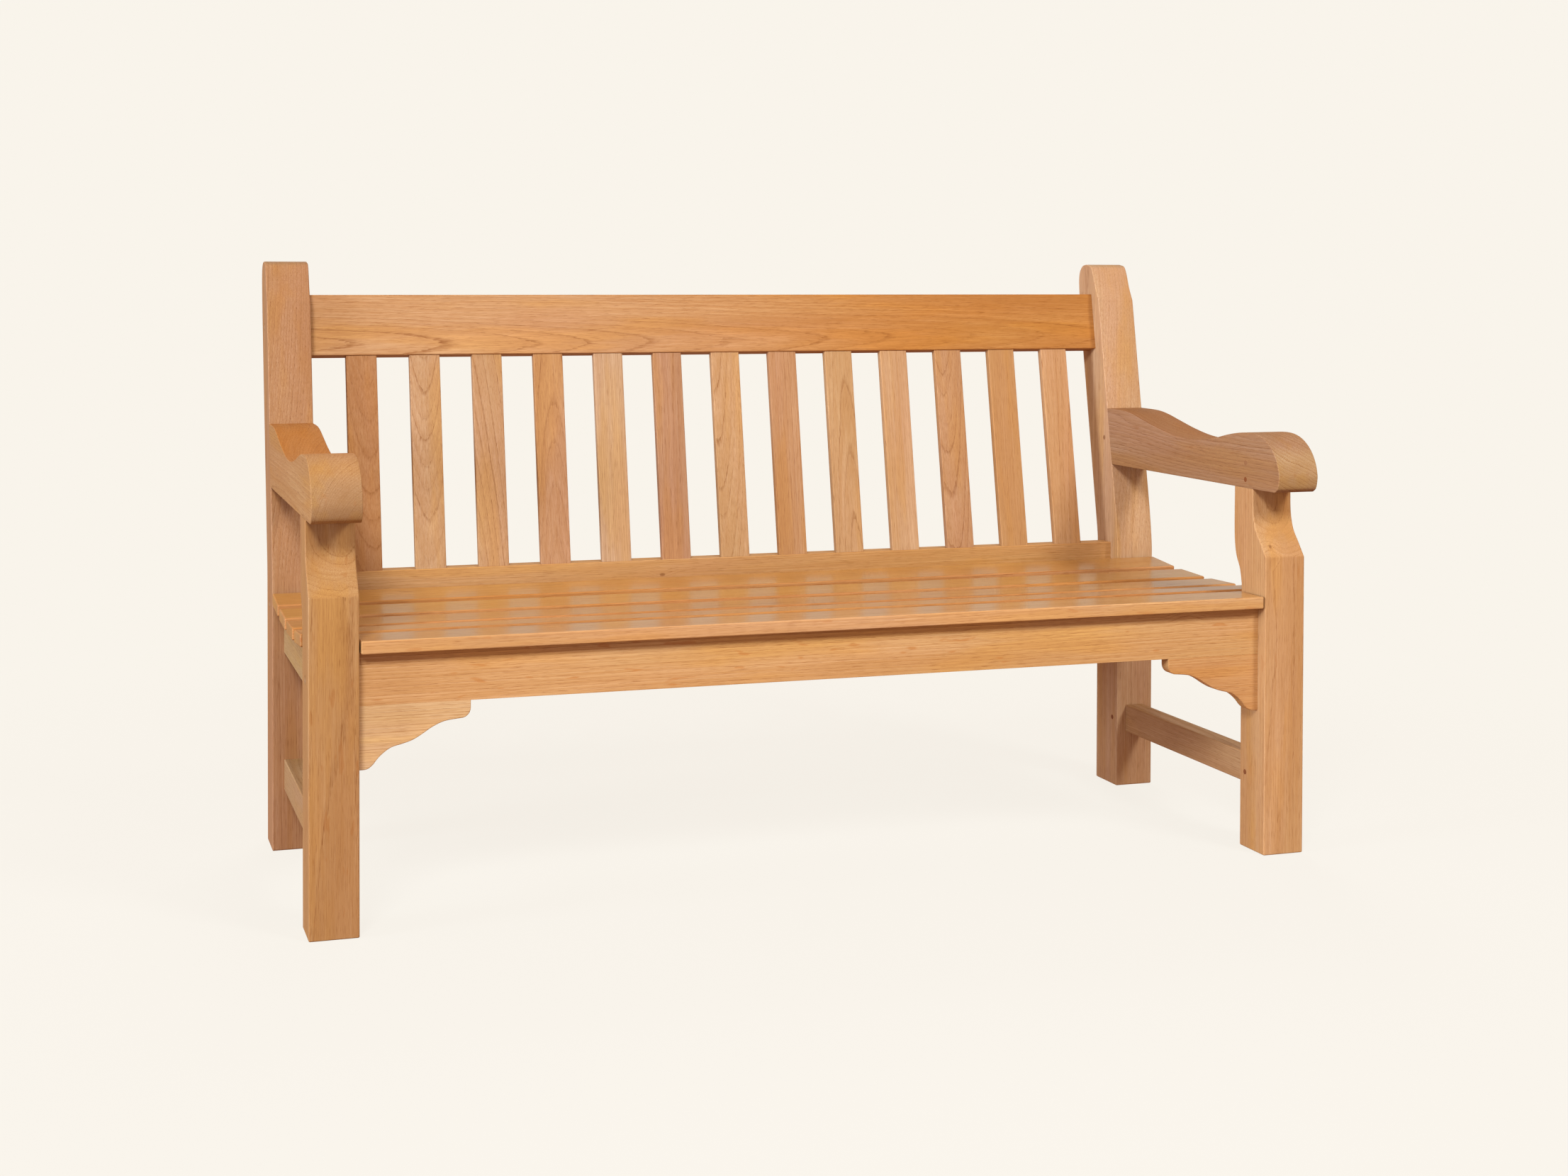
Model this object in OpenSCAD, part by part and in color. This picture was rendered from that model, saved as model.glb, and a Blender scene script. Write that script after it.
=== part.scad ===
// Three-seat garden bench in solid hardwood, with mortised, pegged and bolted joints.
// The frame's origin is the middle of the footprint, on the ground. +Z is up and the seat faces -Y.
// Left and right are as seen from the front, so left is -X.
// Inside each module the front faces of the front legs lie at y = 0; on_ground() centres the bench.

/* [Overall] */
// Width over the end frames
bench_w = 1520; // [1400:10:1640]
// Height of the rear posts
post_h = 911; // [904:1:920]

/* [End frames] */
// Thickness of legs, posts and arms across the bench
frame_t = 68; // [60:1:76]
// Depth of a front leg below the knee
front_leg_d = 68; // [66:1:70]
// Height of the crisp knee on a front leg
knee_h = 460; // [452:1:468]
// Depth of a rear post
rear_post_d = 74; // [70:1:78]
// Distance from the front legs' front faces to the rear posts' front faces
rear_post_y = 470; // [462:1:478]
// Height at which a rear post starts to lean back
bend_h = 435; // [430:1:440]
// Lean of the back, in degrees
lean = 10.3; // [8:0.1:12]
// Height of the crisp neck line on a rear post
neck_h = 848; // [844:1:852]
// Height of the underside of an arm
arm_bottom_h = 561; // [557:1:565]

/* [Rails] */
// Thickness of every rail
rail_t = 32; // [28:1:36]
// Underside of the seat rails
seat_rail_bottom_h = 308; // [300:1:316]
// Set-back of the front rail behind the front legs
front_rail_setback = 20; // [16:1:22]
// Set-back of the back rails behind the posts' front faces
back_rail_setback = 25; // [22:1:27]
// Height of the lower back rail
lower_rail_h = 92; // [80:1:96]
// Height of the lower back rail's top edge
lower_rail_top_h = 424; // [420:1:428]
// Height of the top rail, along the lean
top_rail_h = 98; // [90:1:100]
// Height of the top rail's lower front edge
top_rail_bottom_h = 762; // [750:1:770]
// Height of a side stretcher
stretcher_h = 47; // [40:1:52]
// Height of a side stretcher's underside
stretcher_bottom_h = 94; // [80:1:110]

/* [Back slats] */
// Number of back slats
back_slat_n = 13; // [9:1:13]
// Width of a back slat
back_slat_w = 49; // [40:1:55]
// Thickness of a back slat
back_slat_t = 13; // [12:1:14]
// Spacing of the back slats, centre to centre
back_slat_pitch = 101.7; // [90:0.1:104]

/* [Seat] */
// Thickness of a seat slat
seat_slat_t = 18; // [16:1:20]
// Width of a full-length seat slat
seat_slat_w = 75; // [68:1:78]
// Width of the front seat slat
front_slat_w = 66; // [60:1:68]
// Height of the seat's front edge
seat_h = 400; // [396:1:404]
// Depth of the dish in the seat
seat_dish = 12; // [6:1:16]

/* [Brackets] */
// Length of a bracket along the front rail
bracket_l = 155; // [140:5:160]
// Thickness of a bracket
bracket_t = 22; // [18:1:26]

/* [Fasteners] */
// Diameter of the joint pegs
peg_d = 8; // [6:1:10]
// Diameter of the frame bolts
bolt_d = 8; // [6:1:8]
// Diameter of a bolt's recess in the outer face
recess_d = 15; // [14.5:0.5:18]

/* [Hidden] */
$fn = 48;
SIDES = ["left", "right"];
BACK_SLATS = [for (i = [1:back_slat_n]) str("back_slat_", i < 10 ? "0" : "", i)];
SEAT_SLATS = [for (i = [1:4]) str("seat_slat_", i)];

// Cross positions, from the middle of the bench
half_w = bench_w / 2;
inner_x = half_w - frame_t;
frame_mid_x = half_w - frame_t / 2;

// Places on the raked back: the post's front face at a height, and lengths along the lean
function post_front(z) = rear_post_y + max(0, z - bend_h) * tan(lean);
function up_lean(z, behind) = (z - bend_h + behind * sin(lean)) / cos(lean);
post_back_y = rear_post_y + rear_post_d;
crown_reach = 76;
post_crown_y = post_front(neck_h) + crown_reach;
arm_nose_y = -35;
mid_y = (arm_nose_y + post_crown_y) / 2;

// The dish in the seat is a round arc whose ends meet the legs' inner edges
dish_mid_y = (front_leg_d + rear_post_y) / 2;
dish_half = (rear_post_y - front_leg_d) / 2;
dish_r = (dish_half * dish_half + seat_dish * seat_dish) / (2 * seat_dish);
dish_z = seat_h - seat_dish + dish_r;
slat_under_r = dish_r + seat_slat_t;
front_slat_top = seat_h - 1;
front_slat_under = front_slat_top - seat_slat_t;
seat_slat_first_y = 132.5;
seat_slat_pitch = (rear_post_y - 1 - seat_slat_w / 2 - seat_slat_first_y) / 3;
function seat_slat_y(i) = seat_slat_first_y + (i - 1) * seat_slat_pitch;

// Heights and depths of the rails
front_rail_h = front_slat_under - seat_rail_bottom_h;
front_rail_mid_y = front_rail_setback + rail_t / 2;
front_rail_mid_z = seat_rail_bottom_h + front_rail_h / 2;
back_rail_y = rear_post_y + back_rail_setback;
back_rail_mid_y = back_rail_y + rail_t / 2;
lower_rail_bottom_h = lower_rail_top_h - lower_rail_h;
lower_rail_mid_z = lower_rail_top_h - lower_rail_h / 2;
top_rail_from = up_lean(top_rail_bottom_h, back_rail_setback);
top_rail_mid = top_rail_from + top_rail_h / 2;
seat_blank_top = seat_h - seat_slat_t;
slat_setback = back_rail_setback + 3;

// Joint sizes
tenon_t = 12;
stub_l = 8;
stub_inset = 8;
arm_tenon_t = 16;
arm_tenon_l = 46;
leg_tenon_h = 45;
neck_front_y = 38;
neck_back_y = 90.5;
leg_tenon_inset = 7;
arm_tenon_rise = 15;
arm_tenon_h = 66;
seat_tenon_bottom = seat_rail_bottom_h + 10;
seat_tenon_h = 50;
front_tenon_l = 26;
rear_tenon_l = 40;
stretcher_shoulder = 6;
bearer_stub_rise = 20;
bearer_stub_h = 40;
slat_tenon_t = 9;
slat_tenon_l = 15;
slat_shoulder = 4;
slat_tenon_in = 2;

// Joint pegs: how far behind a shoulder each one crosses its tenon, and how high
peg_l = 55;
leg_peg_in = 13;
post_peg_in = 16;
arm_peg_in = 20;
arm_peg_z = arm_bottom_h + 45;
neck_peg_y = 59;
neck_peg_rises = [13, 39];
seat_peg_z = seat_tenon_bottom + seat_tenon_h / 2;
stretcher_peg_z = stretcher_bottom_h + stretcher_h / 2;

// Bolt joint sizes: recess, clearance hole and cross nut
recess_l = 13;
hole_d = bolt_d + 1;
nut_d = 12;
nut_l = 19;
nut_in = 45;
nut_hole_reach = 8;
washer_t = 1.6;
bolt_head_d = 13;
bolt_head_l = 8;
hex_socket_d = 6.9;
hex_socket_l = 5;
bolt_past_nut = 15;

// Screw sizes
screw_d = 4;
screw_head_d = 8.5;
screw_recess_d = 9;
screw_head_l = 3;
screw_tip_l = 6;
screw_l = 45;
screw_grip = 33;
front_screw_pitch = 400;

// Bracket screws: one across into the leg, and one up into the rail
leg_screw_down = 68;
leg_screw_in = 8;
rail_screw_along = 108;
rail_screw_in = 18;

wood_post = "#c98f5e";
wood_leg = "#c98a50";
wood_arm = "#c08048";
wood_rail = "#d0883f";
wood_slat = "#cf9058";
wood_seat = "#cf9a62";
wood_peg = "#8a5530";
steel = "#a8a59c";

// Smooth line through the points, with n steps between neighbours
function smooth(p, n = 5) = concat(
    [for (i = [0:len(p) - 2]) for (k = [0:n - 1])
        blend(p[max(0, i - 1)], p[i], p[i + 1], p[min(len(p) - 1, i + 2)], k / n)],
    [p[len(p) - 1]]);
function blend(a, b, c, d, t) = b + 0.5 * t * (c - a + t * (2 * a - 5 * b + 4 * c - d
    + t * (3 * (b - c) + d - a)));

module on_ground() {
    translate([0, -mid_y, 0]) children();
}

module mirrored(side) {
    mirror([side == "left" ? 1 : 0, 0, 0]) children();
}

// Extrudes an outline drawn in depth and height across the bench, from x to x + w
module across(x, w) {
    translate([x, 0, 0]) rotate([90, 0, 90]) linear_extrude(w) children();
}

// Local frame of the raked back: Y behind the posts' front faces, Z up the lean
module on_lean() {
    translate([0, rear_post_y, bend_h]) rotate([-lean, 0, 0]) children();
}

// Round bar or hole along X, Y or Z
module rod_x(d, l) {
    rotate([0, 90, 0]) cylinder(d = d, h = l);
}
module rod_y(d, l) {
    rotate([-90, 0, 0]) cylinder(d = d, h = l);
}

// Where each right-hand frame bolt enters: the rail's centre line at the inner face
module at_bolts() {
    translate([inner_x, front_rail_mid_y, front_rail_mid_z]) children();
    translate([inner_x, back_rail_mid_y, lower_rail_mid_z]) children();
    on_lean() translate([inner_x, back_rail_setback + rail_t / 2, top_rail_mid]) children();
}

module bolt_holes() {
    at_bolts() {
        translate([-nut_in - bolt_past_nut, 0, 0]) rod_x(hole_d, frame_t + nut_in + bolt_past_nut);
        translate([frame_t - recess_l, 0, 0]) rod_x(recess_d, recess_l + 1);
        translate([-nut_in, -nut_hole_reach, 0]) rod_y(nut_d, rail_t);
    }
}

// Where each right-hand peg enters the inner face
module at_pegs() {
    neck_pegs = [for (rise = neck_peg_rises) [neck_peg_y, arm_bottom_h + rise]];
    arm_peg = [post_front(arm_peg_z) + arm_peg_in, arm_peg_z];
    rail_pegs = [for (z = [seat_peg_z, stretcher_peg_z])
        for (y = [front_leg_d - leg_peg_in, rear_post_y + post_peg_in]) [y, z]];
    for (p = concat(neck_pegs, [arm_peg], rail_pegs)) translate([inner_x, p[0], p[1]]) children();
}

module peg_holes() {
    at_pegs() translate([-1, 0, 0]) rod_x(peg_d, peg_l + 1);
}

// Wood screw pointing up, with its head's underside at the origin
module screw() {
    rotate_extrude() polygon([[0, -screw_head_l], [screw_head_d / 2, -screw_head_l],
        [screw_d / 2, 0], [screw_d / 2, screw_l - screw_tip_l], [0, screw_l]]);
}

// Hole for an upright seat screw whose head sits at height z, from below
module screw_hole(z, bottom) {
    translate([0, 0, z]) cylinder(d = screw_d, h = screw_l);
    translate([0, 0, bottom - 1]) cylinder(d = screw_recess_d, h = z - bottom + 1);
}

// Underside of a full-length seat slat, at depth y
function slat_under(y) = dish_z - sqrt(pow(slat_under_r, 2) - pow(y - dish_mid_y, 2));

// Each seat screw: its place across, in depth, and the height of its head
bearer_screws = [for (x = [-frame_mid_x, 0, frame_mid_x]) for (i = [1:4])
    [x, seat_slat_y(i), slat_under(seat_slat_y(i)) - screw_grip]];
front_screws = [for (k = [-1.5:1.5])
    [k * front_screw_pitch, front_rail_mid_y, front_slat_under - screw_grip]];
seat_screw_places = concat(bearer_screws, front_screws);

module seat_screw_holes() {
    for (p = seat_screw_places)
        translate([p[0], p[1], 0]) screw_hole(p[2], seat_rail_bottom_h);
}

// Outline of a bracket: along the rail from the leg, and down from the rail
bracket_edge = concat(
    smooth([[0, -87], [12, -86.5], [20, -81.5], [27, -73], [35, -65.5], [46, -58.5],
            [61, -54.5], [74, -50.5], [87, -43.5], [102, -34], [119, -27], [140, -24.5]], 4),
    [for (a = [-75:15:0]) [bracket_l - 14 + 14 * cos(a), -10.5 + 14 * sin(a)]]);

module at_bracket_screws() {
    screw_y = front_rail_setback + bracket_t / 2;
    translate([inner_x - leg_screw_in, screw_y, seat_rail_bottom_h - leg_screw_down])
        rotate([0, 90, 0]) children();
    translate([inner_x - rail_screw_along, screw_y, seat_rail_bottom_h - rail_screw_in]) children();
}

module bracket_screw_holes() {
    at_bracket_screws() {
        cylinder(d = screw_d, h = screw_l);
        translate([0, 0, -40]) cylinder(d = screw_recess_d, h = 40);
    }
}

module rear_post(side) {
    on_ground() mirrored(side) color(wood_post) difference() {
        across(inner_x, frame_t) rear_post_outline();
        peg_holes();
        bolt_holes();
        side_rail_blank();
        stretcher_blank();
        armrest_tenon();
        top_rail_blank();
        lower_rail_blank();
    }
}

// Upright to the bend, then raked, with a swept neck in front and a rounded crown
module rear_post_outline() {
    soft = 45;
    back_bend = bend_h - rear_post_d * tan(lean / 2);
    back_off = rear_post_d / cos(lean);
    neck_y = post_front(neck_h);
    polygon(concat(
        [[post_back_y, 0], [rear_post_y, 0]],
        smooth([[rear_post_y, bend_h - soft], [rear_post_y + 0.8, bend_h - 10],
                [post_front(bend_h + soft), bend_h + soft]]),
        smooth([[neck_y, neck_h], [neck_y + 7, neck_h + 12], [neck_y + 14, neck_h + 26],
                [neck_y + 21, neck_h + 44], [neck_y + 29.5, neck_h + 58.5],
                [neck_y + 40, post_h - 1], [neck_y + 52, post_h],
                [neck_y + 64, post_h - 3], [neck_y + 73, post_h - 13],
                [post_crown_y, post_h - 28], [neck_y + 74.5, post_h - 50],
                [post_front(neck_h - 28) + back_off - 0.5, neck_h - 28],
                [post_front(neck_h - 68) + back_off, neck_h - 68]]),
        smooth([[post_front(back_bend + soft) + back_off, back_bend + soft],
                [post_back_y + 1, back_bend + 2], [post_back_y, back_bend - soft]])));
}

module front_leg(side) {
    on_ground() mirrored(side) color(wood_leg) difference() {
        union() {
            across(inner_x, frame_t) front_leg_outline();
            front_leg_tenon();
        }
        peg_holes();
        bolt_holes();
        side_rail_blank();
        stretcher_blank();
        front_rail_stubs();
        bracket_screw_holes();
    }
}

// Square to the knee, then an S-shaped neck that carries the arm
module front_leg_outline() {
    polygon(concat(
        [[0, 0]],
        smooth([[0, knee_h], [13.5, knee_h + 18], [27, knee_h + 35], [33.5, knee_h + 50],
                [37.2, knee_h + 70], [neck_front_y, arm_bottom_h]]),
        smooth([[neck_back_y, arm_bottom_h], [neck_back_y + 0.5, knee_h + 45],
                [neck_back_y - 1, knee_h + 14], [front_leg_d + 16.5, knee_h - 8],
                [front_leg_d + 6, knee_h - 28], [front_leg_d, knee_h - 56]]),
        [[front_leg_d, 0]]));
}

module front_leg_tenon() {
    depth = neck_back_y - neck_front_y - 2 * leg_tenon_inset;
    translate([frame_mid_x - arm_tenon_t / 2, neck_front_y + leg_tenon_inset, arm_bottom_h])
        cube([arm_tenon_t, depth, leg_tenon_h]);
}

module armrest(side) {
    on_ground() mirrored(side) color(wood_arm) difference() {
        union() {
            across(inner_x, frame_t) armrest_outline();
            armrest_tenon();
        }
        front_leg_tenon();
        peg_holes();
    }
}

// Deep at the post, dipped in the middle, crowned and rounded at the nose
module armrest_outline() {
    top = arm_bottom_h + 97;
    polygon(concat(
        smooth([[arm_nose_y + 12, arm_bottom_h], [arm_nose_y + 4.5, arm_bottom_h + 5],
                [arm_nose_y + 1, arm_bottom_h + 14], [arm_nose_y, arm_bottom_h + 27],
                [arm_nose_y + 6, arm_bottom_h + 46], [arm_nose_y + 19, arm_bottom_h + 64],
                [3, arm_bottom_h + 77.5], [24, arm_bottom_h + 84.5],
                [48, arm_bottom_h + 86.5], [80, arm_bottom_h + 84.5],
                [115, arm_bottom_h + 79], [150, arm_bottom_h + 71.5],
                [188, arm_bottom_h + 65.5], [228, arm_bottom_h + 63],
                [276, arm_bottom_h + 65.5], [326, arm_bottom_h + 73],
                [374, arm_bottom_h + 83], [416, arm_bottom_h + 92],
                [446, top - 1], [475, top]]),
        [[post_front(top), top], [post_front(arm_bottom_h), arm_bottom_h]]));
}

module armrest_tenon() {
    translate([frame_mid_x - arm_tenon_t / 2, post_front(arm_bottom_h),
               arm_bottom_h + arm_tenon_rise])
        cube([arm_tenon_t, arm_tenon_l, arm_tenon_h]);
}

module side_rail(side) {
    on_ground() mirrored(side) color(wood_rail) difference() {
        side_rail_blank();
        seat_dish_cut();
        peg_holes();
        seat_screw_holes();
    }
}

module side_rail_blank() {
    translate([frame_mid_x - rail_t / 2, front_leg_d, seat_rail_bottom_h])
        cube([rail_t, rear_post_y - front_leg_d, seat_blank_top - seat_rail_bottom_h]);
    translate([frame_mid_x - tenon_t / 2, front_leg_d - front_tenon_l, seat_tenon_bottom])
        cube([tenon_t, rear_post_y - front_leg_d + front_tenon_l + rear_tenon_l, seat_tenon_h]);
}

// Everything above the arc that the seat slats lie on
module seat_dish_cut() {
    translate([-half_w, dish_mid_y, dish_z])
        rotate([0, 90, 0]) cylinder(r = slat_under_r, h = bench_w, $fn = 360);
}

module stretcher(side) {
    on_ground() mirrored(side) color(wood_rail) difference() {
        stretcher_blank();
        peg_holes();
    }
}

module stretcher_blank() {
    span = rear_post_y - front_leg_d;
    translate([frame_mid_x - rail_t / 2, front_leg_d, stretcher_bottom_h])
        cube([rail_t, span, stretcher_h]);
    translate([frame_mid_x - tenon_t / 2, front_leg_d - rear_tenon_l,
               stretcher_bottom_h + stretcher_shoulder])
        cube([tenon_t, span + 2 * rear_tenon_l, stretcher_h - 2 * stretcher_shoulder]);
}

module front_rail() {
    on_ground() color(wood_rail) difference() {
        union() {
            translate([-inner_x, front_rail_setback, seat_rail_bottom_h])
                cube([2 * inner_x, rail_t, front_rail_h]);
            front_rail_stubs();
        }
        for (s = SIDES) mirrored(s) bolt_holes();
        for (s = SIDES) mirrored(s) bracket_screw_holes();
        seat_bearer_blank();
        seat_screw_holes();
    }
}

module front_rail_stubs() {
    translate([-inner_x - stub_l, front_rail_setback + stub_inset,
               seat_rail_bottom_h + stub_inset])
        cube([2 * (inner_x + stub_l), rail_t - 2 * stub_inset, front_rail_h - 2 * stub_inset]);
}

module lower_back_rail() {
    on_ground() color(wood_rail) difference() {
        lower_rail_blank();
        for (s = SIDES) mirrored(s) bolt_holes();
        for (i = [1:back_slat_n]) back_slat_foot(i);
        seat_bearer_blank();
    }
}

module lower_rail_blank() {
    translate([-inner_x, back_rail_y, lower_rail_bottom_h])
        cube([2 * inner_x, rail_t, lower_rail_h]);
    translate([-inner_x - stub_l, back_rail_y + stub_inset, lower_rail_bottom_h + stub_inset])
        cube([2 * (inner_x + stub_l), rail_t - 2 * stub_inset, lower_rail_h - 2 * stub_inset]);
}

module top_rail() {
    on_ground() color(wood_rail) difference() {
        top_rail_blank();
        for (s = SIDES) mirrored(s) bolt_holes();
        on_lean() for (i = [1:back_slat_n]) back_slat_head(i);
    }
}

module top_rail_blank() {
    on_lean() {
        translate([-inner_x, back_rail_setback, top_rail_from])
            cube([2 * inner_x, rail_t, top_rail_h]);
        translate([-inner_x - stub_l, back_rail_setback + stub_inset,
                   top_rail_from + stub_inset])
            cube([2 * (inner_x + stub_l), rail_t - 2 * stub_inset,
                  top_rail_h - 2 * stub_inset]);
    }
}

function back_slat_x(i) = (i - (back_slat_n + 1) / 2) * back_slat_pitch - back_slat_w / 2;

// A raked slat, cut level where it stands on the lower rail
module back_slat(i) {
    spare = 60;
    on_ground() color(wood_slat) {
        difference() {
            on_lean() {
                translate([back_slat_x(i), slat_setback, -spare])
                    cube([back_slat_w, back_slat_t, top_rail_from + spare]);
                back_slat_head(i);
            }
            translate([back_slat_x(i) - 1, rear_post_y - spare, lower_rail_top_h - 2 * spare])
                cube([back_slat_w + 2, 3 * spare, 2 * spare]);
        }
        back_slat_foot(i);
    }
}

module back_slat_head(i) {
    translate([back_slat_x(i) + slat_shoulder, slat_setback + slat_tenon_in, top_rail_from - 1])
        cube([back_slat_w - 2 * slat_shoulder, slat_tenon_t, slat_tenon_l + 1]);
}

module back_slat_foot(i) {
    translate([back_slat_x(i) + slat_shoulder, back_rail_y + slat_shoulder,
               lower_rail_top_h - slat_tenon_l])
        cube([back_slat_w - 2 * slat_shoulder, slat_tenon_t, slat_tenon_l]);
}

module seat_bearer() {
    on_ground() color(wood_rail) difference() {
        seat_bearer_blank();
        seat_dish_cut();
        seat_screw_holes();
    }
}

module seat_bearer_blank() {
    front = front_rail_setback + rail_t;
    translate([-rail_t / 2, front, seat_rail_bottom_h])
        cube([rail_t, back_rail_y - front, front_slat_under - seat_rail_bottom_h]);
    translate([-rail_t / 2 + stub_inset, front - stub_l, seat_rail_bottom_h + bearer_stub_rise])
        cube([rail_t - 2 * stub_inset, back_rail_y - front + 2 * stub_l, bearer_stub_h]);
}

module front_seat_slat() {
    gap = 2;
    on_ground() color(wood_seat) difference() {
        translate([-inner_x + gap, 0, front_slat_under])
            cube([2 * (inner_x - gap), front_slat_w, seat_slat_t]);
        seat_screw_holes();
    }
}

// A full-length slat lies square to the dish at its place, on its two lower edges
module seat_slat(i) {
    tilt = asin((seat_slat_y(i) - dish_mid_y) / slat_under_r);
    down = sqrt(pow(slat_under_r, 2) - pow(seat_slat_w / 2, 2));
    on_ground() color(wood_seat) difference() {
        translate([0, dish_mid_y, dish_z]) rotate([tilt, 0, 0])
            translate([-half_w, -seat_slat_w / 2, -down]) cube([bench_w, seat_slat_w, seat_slat_t]);
        seat_screw_holes();
    }
}

module bracket(side) {
    on_ground() mirrored(side) color(wood_rail) difference() {
        translate([inner_x, front_rail_setback + bracket_t, seat_rail_bottom_h])
            rotate([90, 0, 0]) linear_extrude(bracket_t)
                mirror([1, 0, 0]) polygon(concat([[0, 0]], bracket_edge, [[bracket_l, 0]]));
        bracket_screw_holes();
    }
}

module joint_pegs() {
    on_ground() color(wood_peg) for (s = SIDES) mirrored(s)
        at_pegs() rod_x(peg_d, peg_l);
}

// Socket-head bolts, whose heads sit in the outer recesses
module frame_bolts() {
    seat_x = frame_t - recess_l + washer_t;
    on_ground() color(steel) for (s = SIDES) mirrored(s) at_bolts() {
        translate([-nut_in - bolt_past_nut + 1, 0, 0])
            rod_x(bolt_d, seat_x + nut_in + bolt_past_nut);
        difference() {
            translate([seat_x, 0, 0]) rod_x(bolt_head_d, bolt_head_l);
            translate([seat_x + bolt_head_l - hex_socket_l, 0, 0]) rotate([0, 90, 0])
                cylinder(d = hex_socket_d, h = hex_socket_l + 1, $fn = 6);
        }
    }
}

module bolt_washers() {
    on_ground() color(steel) for (s = SIDES) mirrored(s) at_bolts()
        translate([frame_t - recess_l, 0, 0]) difference() {
            rod_x(recess_d - 0.6, washer_t);
            translate([-1, 0, 0]) rod_x(bolt_d + 0.4, washer_t + 2);
        }
}

// Cross nuts in the rails, entered from behind
module barrel_nuts() {
    on_ground() color(steel) for (s = SIDES) mirrored(s) at_bolts() difference() {
        translate([-nut_in, 0.5 - nut_hole_reach, 0]) rod_y(nut_d - 0.2, nut_l);
        translate([-nut_in - nut_d, 0, 0]) rod_x(bolt_d + 0.2, 2 * nut_d);
    }
}

module seat_screws() {
    on_ground() color(steel) for (p = seat_screw_places) translate(p) screw();
}

module bracket_screws() {
    on_ground() color(steel) for (s = SIDES) mirrored(s) at_bracket_screws() screw();
}

for (s = SIDES) rear_post(s);
for (s = SIDES) front_leg(s);
for (s = SIDES) armrest(s);
for (s = SIDES) side_rail(s);
for (s = SIDES) stretcher(s);
for (s = SIDES) bracket(s);
top_rail();
lower_back_rail();
front_rail();
seat_bearer();
for (i = [1:back_slat_n]) back_slat(i);
front_seat_slat();
for (i = [1:4]) seat_slat(i);
joint_pegs();
frame_bolts();
bolt_washers();
barrel_nuts();
seat_screws();
bracket_screws();
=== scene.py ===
"""Looks of a three-seat garden bench: eased boards, solid-wood grain and soft studio light."""

import math
import random

import bmesh
import bpy
from mathutils import Matrix, Vector
from mathutils.bvhtree import BVHTree


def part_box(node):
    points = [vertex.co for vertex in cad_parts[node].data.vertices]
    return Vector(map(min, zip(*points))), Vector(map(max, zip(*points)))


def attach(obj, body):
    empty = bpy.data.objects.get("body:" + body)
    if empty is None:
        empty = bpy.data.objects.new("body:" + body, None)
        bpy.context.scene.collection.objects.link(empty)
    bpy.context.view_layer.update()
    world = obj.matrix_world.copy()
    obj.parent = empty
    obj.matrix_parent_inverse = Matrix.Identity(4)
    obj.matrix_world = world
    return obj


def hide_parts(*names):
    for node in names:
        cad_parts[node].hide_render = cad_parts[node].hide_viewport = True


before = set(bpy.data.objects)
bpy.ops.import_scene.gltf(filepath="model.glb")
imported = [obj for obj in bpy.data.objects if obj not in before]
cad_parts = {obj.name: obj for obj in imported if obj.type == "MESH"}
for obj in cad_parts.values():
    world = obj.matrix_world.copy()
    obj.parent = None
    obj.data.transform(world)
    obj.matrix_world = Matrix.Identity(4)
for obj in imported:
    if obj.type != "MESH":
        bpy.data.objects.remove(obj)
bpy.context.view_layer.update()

MM = 0.001

# Linear colours of the studio: what the camera sees, and what lights the bench instead
CREAM = (0.947, 0.905, 0.831)
WARM_FILL = (0.33, 0.142, 0.09)
MIRRORED_WALLS = (0.50, 0.445, 0.38)
FLOOR_PAINT = (0.68, 0.715, 0.70)
FLOOR_BOUNCE = (0.52, 0.32, 0.21)
FLOOR_GLOW = (0.42, 0.215, 0.14)

# Metres: where the lights aim, how far the floor reaches and how far it lies below the feet
AIM_HEIGHT = 0.45
FLOOR_RADIUS = 60.0
FLOOR_GAP = 0.3 * MM


# ---------------------------------------------------------------- camera, floor and light

def add_camera():
    """Stands in front, to the left, as high as the bench's back, and looks along it a little."""
    place = Vector((-1.0907, -3.1312, 0.8885))
    yaw, pitch, roll = (math.radians(a) for a in (-17.37, -1.09, 0.11))
    data = bpy.data.cameras.new("camera")
    data.sensor_width = 36
    data.lens = 48.66
    data.shift_x = 0.0479
    data.shift_y = -0.1729
    data.clip_end = 200
    camera = bpy.data.objects.new("camera", data)
    bpy.context.scene.collection.objects.link(camera)
    turn = (Matrix.Rotation(yaw, 4, "Z") @ Matrix.Rotation(math.pi / 2 + pitch, 4, "X")
            @ Matrix.Rotation(roll, 4, "Z"))
    camera.matrix_world = Matrix.Translation(place) @ turn
    bpy.context.scene.camera = camera


def add_softbox(name, azimuth, elevation, distance, size, power, colour=(1, 1, 1), mirrored=True):
    """A square light that faces the bench. Azimuth 0 is straight in front, and 90 is to the right."""
    data = bpy.data.lights.new(name, "AREA")
    data.shape = "SQUARE"
    data.size = size
    data.energy = power
    data.color = colour
    light = bpy.data.objects.new(name, data)
    light.visible_glossy = mirrored
    a, e = math.radians(azimuth), math.radians(elevation)
    away = Vector((math.sin(a) * math.cos(e), -math.cos(a) * math.cos(e), math.sin(e)))
    light.location = Vector((0, 0, AIM_HEIGHT)) + away * distance
    light.rotation_euler = (-away).to_track_quat("-Z", "Y").to_euler()
    bpy.context.scene.collection.objects.link(light)


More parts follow.
